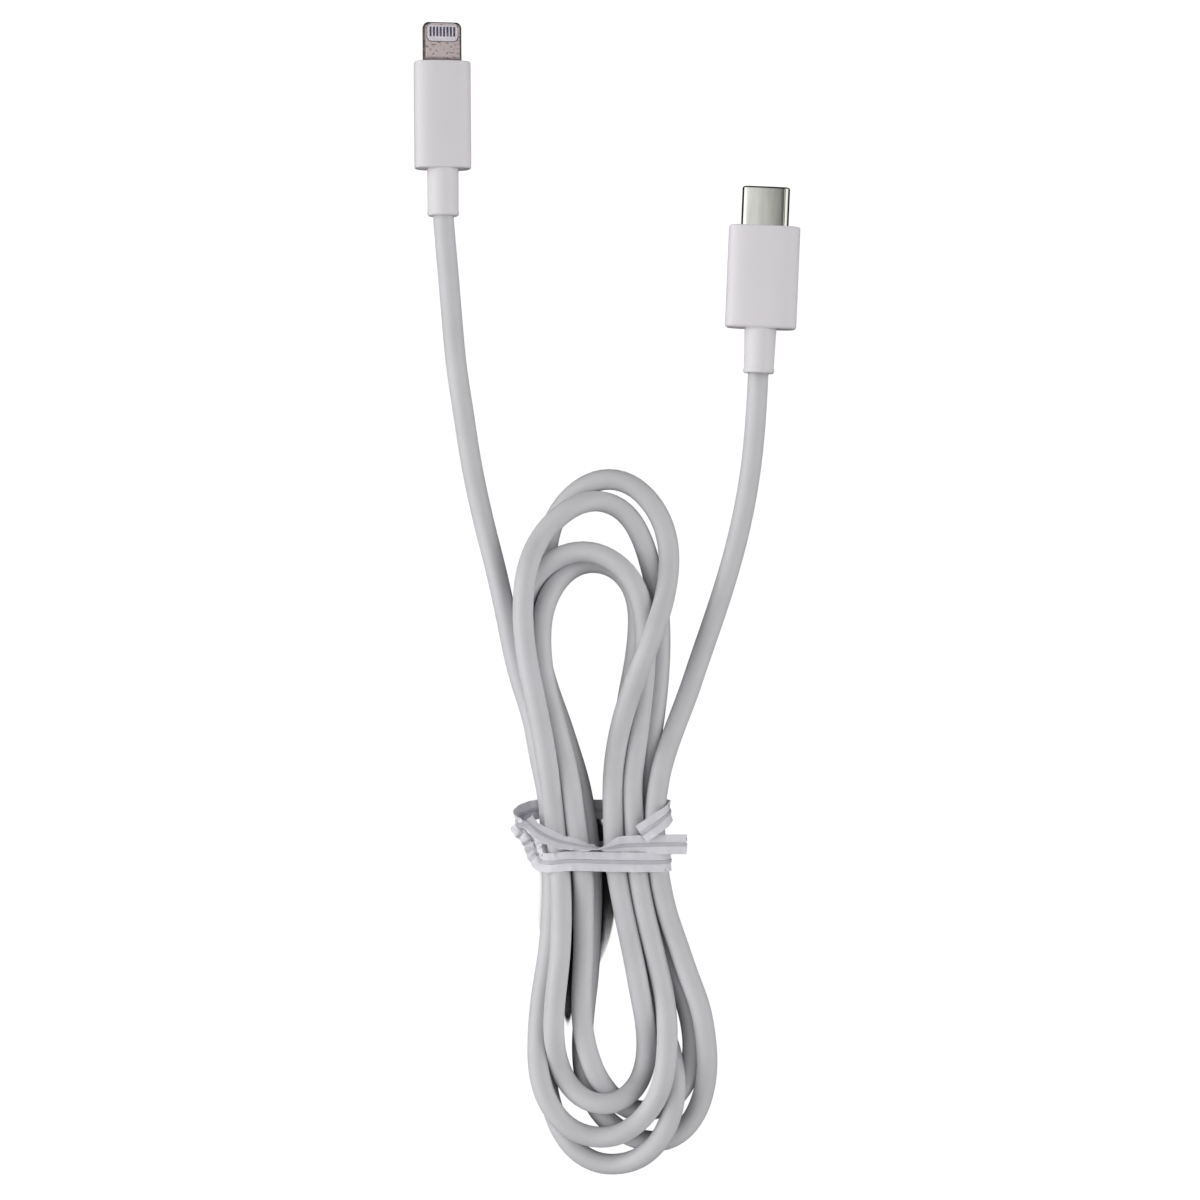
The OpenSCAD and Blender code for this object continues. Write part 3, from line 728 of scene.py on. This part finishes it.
def plug_cover(w, t, length, corner, power, wall, opening, front, rear):
    """Moulded cover: soft sides, round edges, an opening in front, room inside, a cord hole behind.

    power is how square its sides are, opening a width, height and corner radius, and front and rear
    are the radii of its edges there.
    """
    m = 15
    rings = [soft_section(w - 2 * i, t - 2 * i, power, -d, m) for d, i in rounding(front)]
    behind = reversed(rounding(rear, 8))
    rings += [soft_section(w - 2 * i, t - 2 * i, power, d - length, m) for d, i in behind]
    rings += [bore(y, m) for y in (-length, wall - length)]
    rings += [section(w - 2 * wall, t - 2 * wall, corner - wall, y, m) for y in (wall - length, -wall)]
    rings += [section(*opening, y, m) for y in (-wall, 0)]
    return loft(rings, closed=True)


def plug_relief(profile, back):
    """Sleeve turned from (distance behind the cover, radius) pairs, round the cord."""
    m = 13
    rings = [section(2 * r, 2 * r, r, back - d, m) for d, r in profile]
    rings += [bore(back - profile[-1][0], m), bore(back, m)]
    return loft(rings, closed=True)


# The sleeve's groove by the cover, and its lip: (distance from that end, how much thinner it is there)
GROOVE = [(0, 0.1), (0.12, 0.1), (0.2, 0.02), (0.35, 0)]
LIP = [(0.7, 0.02), (0.5, 0), (0.28, 0.02), (0.12, 0.1), (0.03, 0.22), (0, 0.38)]
NECK = (1.4, 0.95)  # where its taper ends and its lip begins, measured from its end


def relief_profile(length, near, far, lip):
    """A shallow groove next to the cover, a slow taper and a rounded lip, of these radii."""
    groove = [(d, near - depth) for d, depth in GROOVE]
    neck = [(length - d, far) for d in NECK]
    return groove + neck + [(length - d, lip - depth) for d, depth in LIP]


SHELL_W, SHELL_T, SHELL_CORNER, SHELL_WALL = 8.25, 2.24, 1.07, 0.25
SHELL_ARCH = 0.08  # how much its two broad faces are arched
SHELL_BACK, SHELL_FRONT = -6.0, 6.9
SHELL_LIP = 0.4  # radius of its mouth


def shell_section(k, y):
    """Section of the shell at y, k inside its outer face."""
    w, h, r = SHELL_W - 2 * k, SHELL_T - 2 * k, SHELL_CORNER - k
    n = 13
    ring = section(w, h, r, y, n)
    x = (w / 2 - r) * np.linspace(1, -1, 14)[1:-1]
    arch = h / 2 + SHELL_ARCH * (1 - (x / (w / 2 - r)) ** 2)
    top = np.column_stack([x, np.full(len(x), y), arch])
    under = np.column_stack([-x, np.full(len(x), y), -arch])
    return np.concatenate([ring[:n], top, ring[n : 3 * n], under, ring[3 * n :]])


def make_shell():
    wall, back, front, lip = SHELL_WALL, SHELL_BACK, SHELL_FRONT, SHELL_LIP
    rings = [shell_section(0, y) for y in (back, 0.0, 5.0)]
    rings += [
        shell_section(lip * (1 - math.cos(a)), front - lip + lip * math.sin(a))
        for a in np.linspace(0, math.pi / 2, 8)
    ]
    # The mouth's edge is drawn in past the wall: (how far inside the outer face, y)
    inside = ((lip + 0.02, front - 0.02), (lip + 0.01, front - 0.15), (wall, front - 0.55), (wall, back))
    rings += [shell_section(k, y) for k, y in inside]
    shell = mesh_object("usb_c_steel_shell", loft(rings, closed=True), usb_place)
    finished(shell, "shell_steel", ["usb_c_shell"])


def make_usb_plug():
    make_shell()
    cover = plug_cover(
        USB_W, USB_T, USB_L, USB_CORNER,
        power=3.4, wall=0.8, opening=(8.27, 2.42, 1.16), front=0.3, rear=0.5,
    )
    finished(mesh_object("usb_c_moulded_cover", cover, usb_place), "white_cover", ["usb_c_cover"])
    sleeve = plug_relief(relief_profile(USB_RELIEF_L, near=2.76, far=2.6, lip=2.7), -USB_L)
    relief = mesh_object("usb_c_relief_sleeve", sleeve, usb_place)
    finished(relief, "white_relief", ["usb_c_strain_relief"])


BLADE_W, BLADE_T = 6.7, 1.5
BLADE_BACK, BLADE_FRONT = -5.0, 6.9
BLADE_TIP = 1.0  # radius of its front corners, seen from above
BLADE_EDGE_W, BLADE_EDGE_T = 0.56, 0.4  # width and height of its rounded edges
NOTCH_Y, NOTCH_HALF, NOTCH_DEPTH = 3.9, 0.55, 0.35  # the notch in each side
NOTCH_MOUTH, NOTCH_BOTTOM = 0.32, 0.24  # half the notch's height there
WINDOW_W, WINDOW_L, WINDOW_R, WINDOW_Y = 5.5, 3.1, 0.9, 5.05
BOARD_ROOM, BOARD_ROOM_Y = (5.4, 0.9, 0.1), (-6, 4.5)  # its width, height and corner, and its ends

# The block in the window: height of its face, gap to the window's edge and radius of its own edges
BLOCK_TOP, BLOCK_GAP, BLOCK_EDGE = BLADE_T / 2 - 0.03, 0.02, 0.15
POCKET_DEPTH, POCKET_GAP = 0.2, 0.01
# The contacts: half the width, ends, heights and bevel of a pad in its pocket and of its tail on the board
PAD_XS = [(i - 3.5) * 0.59 for i in range(8)]
PAD = (0.17, (4.39, 6.06), (BLOCK_TOP - POCKET_DEPTH, BLOCK_TOP - 0.04), 0.03)
TAIL = (0.12, (-0.6, 3.4), (0.3, 0.4), 0)


def blade_outline(notch):
    """The blade seen from above, from its front right corner round to the left, with notches so deep."""
    half, tip, front, back = BLADE_W / 2, BLADE_TIP, BLADE_FRONT, BLADE_BACK
    quarter = np.linspace(0, math.pi / 2, 9)
    points = [(half - tip + tip * math.cos(a), front - tip + tip * math.sin(a)) for a in quarter]
    points += [(x, front) for x in np.linspace(half - tip, tip - half, 10)[1:-1]]
    left = [(-half + tip - tip * math.sin(a), front - tip + tip * math.cos(a)) for a in quarter]
    left += [(-half, 5.2), (-half, 4.6)]
    left += [
        (-half + notch * math.sqrt(1 - k * k), NOTCH_Y - NOTCH_HALF * k)
        for k in np.sin(np.linspace(-1.57, 1.57, 11))
    ]
    left += [(-half, y) for y in (3.2, 2.4, 1.0, -1.0, -3.0, back)]
    points += left
    points += [(x, back) for x in np.linspace(-half, half, 8)[1:-1]]
    right = [(-x, y) for x, y in reversed(left[9:])]
    return np.array(points + right)


def moved_in(outline, inset):
    """The outline moved to its own left, which is its inside."""
    along = np.roll(outline, -1, axis=0) - np.roll(outline, 1, axis=0)
    along /= np.linalg.norm(along, axis=1)[:, None]
    return outline + inset * np.stack([-along[:, 1], along[:, 0]], axis=1)


def on_window(outline, inset):
    """For each point of the outline, the one of the window's edge that lies the same way."""
    way = outline - (0, WINDOW_Y)
    way /= np.linalg.norm(way, axis=1)[:, None]
    low, high = np.zeros(len(way)), np.full(len(way), 5.0)
    half = np.array([WINDOW_W / 2 - inset, WINDOW_L / 2 - inset])
    for _ in range(30):
        middle = (low + high) / 2
        q = np.abs(way * middle[:, None]) - (half - (WINDOW_R - inset))
        past = np.linalg.norm(np.clip(q, 0, None), axis=1) + np.minimum(q.max(axis=1), 0)
        far = past > WINDOW_R - inset
        high, low = np.where(far, middle, high), np.where(far, low, middle)
    return way * low[:, None] + (0, WINDOW_Y)


def at_height(outline, z):
    return np.column_stack([outline, np.full(len(outline), z)])


def make_blade():
    """A metal frame with a window through it, a notch in each side and room for the board behind."""
    outline, notched = blade_outline(0), blade_outline(NOTCH_DEPTH)
    half, bevel = BLADE_T / 2, 0.08
    rings = []
    for side in (1, -1):
        part = [
            at_height(on_window(outline, 0), side * (half - bevel)),
            at_height(on_window(outline, -bevel), side * half),
        ]
        part += [
            at_height(moved_in(outline, BLADE_EDGE_W / BLADE_EDGE_T * i), side * (half - d))
            for d, i in rounding(BLADE_EDGE_T, 7)
        ]
        part += [at_height(outline, side * NOTCH_MOUTH), at_height(notched, side * NOTCH_BOTTOM)]
        rings += part if side > 0 else reversed(part)
    blade = mesh_object("phone_blade", loft(rings, closed=True), phone_place)
    hollow = loft([section(*BOARD_ROOM, y) for y in BOARD_ROOM_Y])
    cut_away(blade, mesh_object("hollow", hollow, phone_place))
    finished(blade, "blade_metal", ["phone_plug_frame"], 30, "blade_edge")


def make_contact_block():
    """The pale block in the window, with a pocket for each contact in both faces."""
    outline, edge = blade_outline(0), rounding(BLOCK_EDGE)
    rings = [at_height(on_window(outline, BLOCK_GAP + i), BLOCK_TOP - d) for d, i in edge]
    rings += [at_height(on_window(outline, BLOCK_GAP + i), d - BLOCK_TOP) for d, i in reversed(edge)]
    block = mesh_object("phone_insert", loft(rings), phone_place)
    half, (start, end) = PAD[:2]
    size = np.array([half + POCKET_GAP, (end - start) / 2 + POCKET_GAP, POCKET_DEPTH])
    middles = [np.array([x, (start + end) / 2, z]) for x in PAD_XS for z in (BLOCK_TOP, -BLOCK_TOP)]
    pockets = [bar(middle - size, middle + size) for middle in middles]
    cut_away(block, mesh_object("pockets", joined(pockets), phone_place))
    finished(block, "pale_insert", ["phone_plug_contact_block"], 30)


def make_contacts(name, side, node):
    """The contacts of one face, side being 1 for the upper one and -1 for the lower one."""
    bars = []
    for x in PAD_XS:
        for half, (start, end), heights, bevel in (PAD, TAIL):
            low, high = sorted(side * z for z in heights)
            bars.append(bar((x - half, start, low), (x + half, end, high), bevel))
    finished(mesh_object(name, joined(bars), phone_place), "dark_contacts", [node])


def make_phone_plug():
    make_blade()
    make_contact_block()
    make_contacts("phone_upper_pads", 1, "phone_plug_top_contacts")
    make_contacts("phone_lower_pads", -1, "phone_plug_bottom_contacts")
    cover = plug_cover(
        PHONE_W, PHONE_T, PHONE_L, PHONE_CORNER,
        power=3.1, wall=0.7, opening=(6.72, 1.52, 0.55), front=0.25, rear=0.3,
    )
    finished(mesh_object("phone_moulded_cover", cover, phone_place), "white_cover", ["phone_plug_cover"])
    sleeve = plug_relief(relief_profile(PHONE_RELIEF_L, near=2.72, far=2.68, lip=2.74), -PHONE_L)
    relief = mesh_object("phone_relief_sleeve", sleeve, phone_place)
    finished(relief, "white_relief", ["phone_plug_strain_relief"])


# ---- twist tie ----

# Middle of the strip from one cut end to the other: x, y, z, the way one face looks, how far in degrees
# its two edges are folded up, and how deep it is creased
TIE_PATH = [
    (5.9, -67.05, 8.3, 0, 0, 1, 4, 0), (7.6, -65.9, 8.3, 0, 0, 1, 4, 0),
    (9.2, -64.8, 7.9, 3, 1, 6, 5, 0), (10.5, -63.8, 6.5, 5, 1, 1, 5, 0),
    (10.9, -63.4, 4.4, 5, 1, 0, 5, 0), (10.6, -63.2, 2.0, 4, 0, -2, 5, 0),
    (9.2, -63.2, 0.45, 1, 0, -5, 5, 0), (4, -63.3, 0.32, 0, 0, -1, 3, 0),
    (-2.5, -63.3, 0.32, 0, 0, -1, 3, 0), (-8.5, -63.0, 0.35, 0, 0, -1, 3, 0),
    (-11.6, -63.2, 1.1, 1, 0, -4, 4, 0.04), (-14.0, -63.7, 2.4, -1, 0, -4, 8, 0.08),
    (-15.6, -64.7, 3.4, -5, 1, -2, 12, 0.1), (-15.4, -65.8, 4.1, -4, 1, 4, 14, 0.12),
    (-14.1, -67.1, 4.4, -2, -1, 6, 12, 0.16), (-13.0, -68.5, 4.7, -2, 1, 6, 12, 0.18),
    (-12.4, -70.2, 5.1, -2, -1, 5, 14, 0.18), (-11.5, -71.9, 5.9, -2, 0, 4, 14, 0.12),
    (-10.0, -72.1, 7.1, -2, 0, 4, 10, 0.06), (-7, -71.8, 7.6, 0, 0, 1, 5, 0),
    (0, -71.9, 7.65, 0, 0, 1, 5, 0), (7, -72.0, 7.55, 1, 0, 6, 5, 0),
    (10.0, -72.0, 6.6, 4, 0, 4, 5, 0), (11.0, -71.9, 4.2, 5, 0, 0, 5, 0),
    (10.2, -71.7, 1.6, 4, 0, -3, 5, 0), (8.2, -71.4, 0.4, 1, 0, -6, 5, 0),
    (0, -70.6, 0.32, 0, 0, -1, 3, 0), (-8.5, -70.2, 0.35, 0, 0, -1, 3, 0),
    (-11.8, -69.2, 1.0, -3, 0, -4, 8, 0.06), (-12.8, -67.1, 2.3, -5, 3, -2, 8, 0.06),
    (-13.8, -65.7, 4.2, -5, 5, -1, 6, 0.03), (-14.2, -65.0, 6.3, -3, 6, 0, 4, 0),
    (-13.1, -65.7, 7.9, -1, 6, 1, 3, 0), (-11.2, -67.0, 8.6, 0, 5, 4.6, 3, 0),
    (-8.6, -68.2, 8.8, 0, 5, 4.2, 3, 0), (-6, -68.8, 9.0, 0, 5, 3.2, 4, 0),
    (-3.6, -69.25, 9.2, 0, 6, 2.0, 4, 0), (-1.5, -69.5, 9.1, 0, 6, 0.1, 5, 0),
    (0.4, -69.4, 8.6, 0, 4.5, -4, 5, 0), (2.4, -69.1, 8.0, 0, 1.5, -5, 5, 0),
    (5.0, -69.0, 7.8, 0, 0.2, -1, 4, 0), (9.5, -68.9, 7.65, 0, 0, -1, 4, 0),
    (13.7, -68.9, 7.35, 0, 0, -1, 4, 0),
]
TIE_STEP = 0.3
RIDGE_HALF = 0.34  # half the width of the ridge over the wire
WIRE_R, WIRE_OUT = 0.15, 0.12  # the wire's radius, and how far it sticks out of the cut ends
RAGGED = 0.1  # how rough the cut ends are
# (place across the strip, half its thickness there) from the middle to one edge
HALF_SECTION = [
    (0.12, 0.25), (0.26, 0.2), (RIDGE_HALF, 0.04), (0.55, 0.07), (0.9, 0.07), (1.3, 0.07), (1.67, 0.07),
    (1.7, 0.02),
]


def waves(s, u):
    """How the strip's sides wave, s along it and u across it."""
    return 0.05 * math.sin(1.7 * s + u[0]) + 0.04 * math.sin(4.1 * s) + 0.03 * np.sin(2.9 * s + 3 * u)


def creases(s, u):
    """How its crumpled part is folded."""
    return np.sin(3.7 * s + 1.3 * np.sin(1.1 * s) + 1.1 * u) + 0.5 * np.sin(7.1 * s - 1.7 * u)


def make_tie():
    path = np.array(TIE_PATH, float)
    path[:, 3:6] /= np.linalg.norm(path[:, 3:6], axis=1)[:, None]
    line = smooth_line(path, TIE_STEP)
    p = line[:, :3]
    along = np.gradient(p, axis=0)
    along /= np.linalg.norm(along, axis=1)[:, None]
    up = line[:, 3:6]
    up = up - (up * along).sum(axis=1)[:, None] * along
    up /= np.linalg.norm(up, axis=1)[:, None]
    across = np.cross(up, along)
    fold = np.radians(line[:, 6])
    one_side = np.array(HALF_SECTION)
    u, half = np.concatenate([one_side[::-1] * (-1, 1), one_side]).T
    wing = np.clip(np.abs(u) - RIDGE_HALF, 0, None)
    ragged = RAGGED * np.where(np.arange(len(u)) % 2, 1, -1)
    cut_ends = {0: ragged, len(p) - 1: -ragged}
    rings = []
    for i in range(len(p)):
        s = TIE_STEP * i
        out = np.sign(u) * (np.minimum(np.abs(u), RIDGE_HALF) + wing * math.cos(fold[i]))
        rise = wing * (math.sin(fold[i]) + waves(s, u)) + line[i, 7] * creases(s, u)
        forward = cut_ends.get(i, np.zeros(len(u)))
        middle = p[i] + np.outer(out, across[i]) + np.outer(rise, up[i]) + np.outer(forward, along[i])
        thick = np.outer(half, up[i])
        rings.append(np.concatenate([middle + thick, (middle - thick)[::-1]]))
    strip = mesh_object("tie_ribbon", loft(rings))
    finished(strip, "tie_plastic", ["tie_strip"], 30)
    strip.data.materials.append(MATERIALS["tie_ridge"])
    n = len(u)
    on_ridge = np.abs(np.concatenate([u, u[::-1]])) <= RIDGE_HALF
    for face in strip.data.polygons:
        if all(on_ridge[k % (2 * n)] for k in face.vertices):
            face.material_index = 1
    wire = np.concatenate([p[:1] - WIRE_OUT * along[:1], p[1:-1], p[-1:] + WIRE_OUT * along[-1:]])
    finished(mesh_object("tie_core", pipe(wire, WIRE_R, 8)), "wire_steel", ["tie_wire"])


make_camera()
make_stage()
make_finishes()
repaint_frame()
cord = make_cord()
make_usb_plug()
make_phone_plug()
make_tie()
